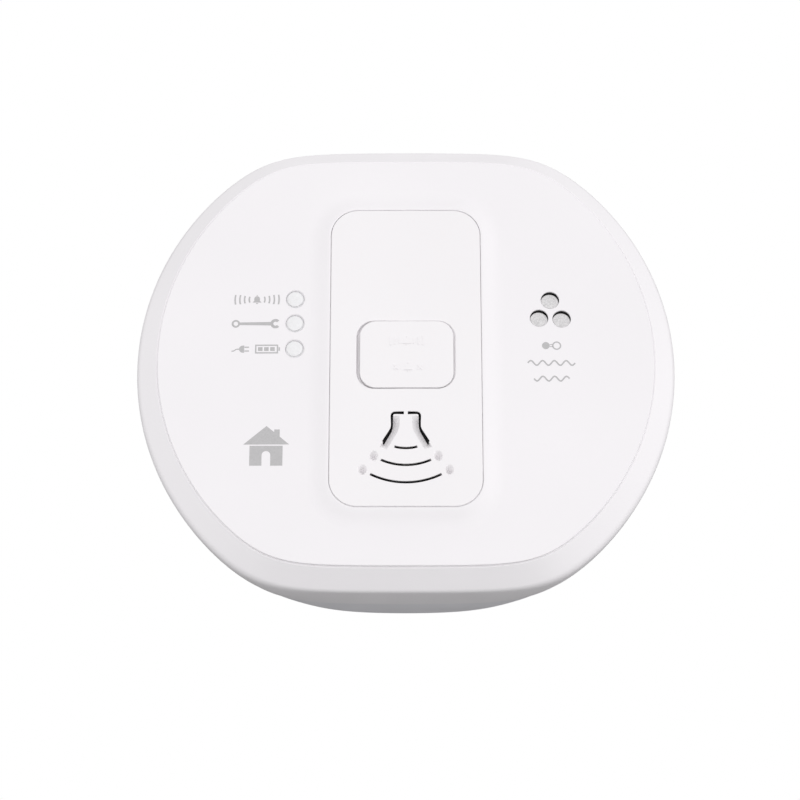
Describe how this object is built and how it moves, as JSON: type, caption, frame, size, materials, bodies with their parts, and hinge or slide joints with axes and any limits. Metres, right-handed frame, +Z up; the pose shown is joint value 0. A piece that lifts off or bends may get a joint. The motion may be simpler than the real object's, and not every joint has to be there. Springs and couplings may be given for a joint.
{
  "type": "carbon monoxide detector",
  "caption": "White wall carbon monoxide alarm: a round body cut flat above and below, with a test button in a raised centre panel, on a twist-on mounting plate.",
  "frame": {"origin": "centre of the mounting plate's back face, which lies on the wall", "axes": "+Y into the wall, -Y out of the front face, +Z up, +X to the right seen from the front"},
  "size_m": [0.12, 0.0445, 0.1048],
  "materials": {
    "back_plastic": "satin moulded",
    "cover_plastic": "satin moulded",
    "panel_plastic": "satin moulded",
    "print_ink": "pad printed",
    "light_pipe": "clear diffusing",
    "board_laminate": "solder mask",
    "screw_steel": "zinc plated",
    "red_lens": "moulded",
    "amber_lens": "moulded",
    "green_lens": "moulded",
    "black_plastic": "moulded",
    "switch_plastic": "moulded",
    "grey_resin": "moulded",
    "brass_sheet": "rolled",
    "piezo_ceramic": "silvered ceramic",
    "black_foam": "foam",
    "sensor_steel": "drawn",
    "white_membrane": "porous",
    "nickel_strip": "plated",
    "cell_sleeve": "shrink sleeve",
    "ferrite": "sintered",
    "copper_wire": "enamelled",
    "capacitor_sleeve": "shrink sleeve",
    "chip_resin": "moulded"
  },
  "bodies": {
    "plate": {"mounting_plate": "back_plastic"},
    "alarm": {"rear_shell": "back_plastic", "front_cover": "cover_plastic", "centre_panel": "panel_plastic", "circuit_board": "board_laminate", "board_screw_1": "screw_steel", "board_screw_2": "screw_steel", "board_screw_3": "screw_steel", "board_screw_4": "screw_steel", "alarm_light_pipe": "light_pipe", "fault_light_pipe": "light_pipe", "power_light_pipe": "light_pipe", "alarm_led": "red_lens", "fault_led": "amber_lens", "power_led": "green_lens", "test_switch_body": "black_plastic", "sounder_base": "grey_resin", "brass_disc": "brass_sheet", "ceramic_disc": "piezo_ceramic", "resonator_cap": "grey_resin", "sounder_gasket": "black_foam", "sensor_can": "sensor_steel", "sensor_reservoir": "grey_resin", "sensor_electrode": "white_membrane", "sensor_cap": "sensor_steel", "sensor_foam_ring": "black_foam", "dust_screen": "white_membrane", "vent_pad": "black_foam", "sensor_tab_left": "nickel_strip", "sensor_tab_right": "nickel_strip", "battery_cell": "cell_sleeve", "battery_cradle": "grey_resin", "battery_tab_positive": "nickel_strip", "battery_tab_negative": "nickel_strip", "power_switch_body": "black_plastic", "coil_core": "ferrite", "coil_winding": "copper_wire", "large_capacitor": "capacitor_sleeve", "small_capacitor": "capacitor_sleeve", "microcontroller": "chip_resin"},
    "button": {"test_button": "panel_plastic"},
    "plunger": {"test_switch_plunger": "switch_plastic"},
    "power_slider": {"power_switch_slider": "switch_plastic"}
  },
  "joints": [
    {"name": "alarm_turn", "type": "hinge", "parent": "plate", "child": "alarm", "pos_m": [0, 0, 0], "axis": [0, -1, 0], "range_deg": [0, 15]},
    {"name": "button_press", "type": "slide", "parent": "alarm", "child": "button", "axis": [0, 1, 0], "range_m": [0, 0.001], "stiffness_N_per_m": 800},
    {"name": "plunger_travel", "type": "slide", "parent": "alarm", "child": "plunger", "axis": [0, 1, 0], "range_m": [0, 0.001]},
    {"name": "power_slide", "type": "slide", "parent": "alarm", "child": "power_slider", "axis": [1, 0, 0], "range_m": [0, 0.0034]}
  ],
  "couplings": [
    {"joint": "plunger_travel", "follows": "button_press", "ratio": 1}
  ]
}
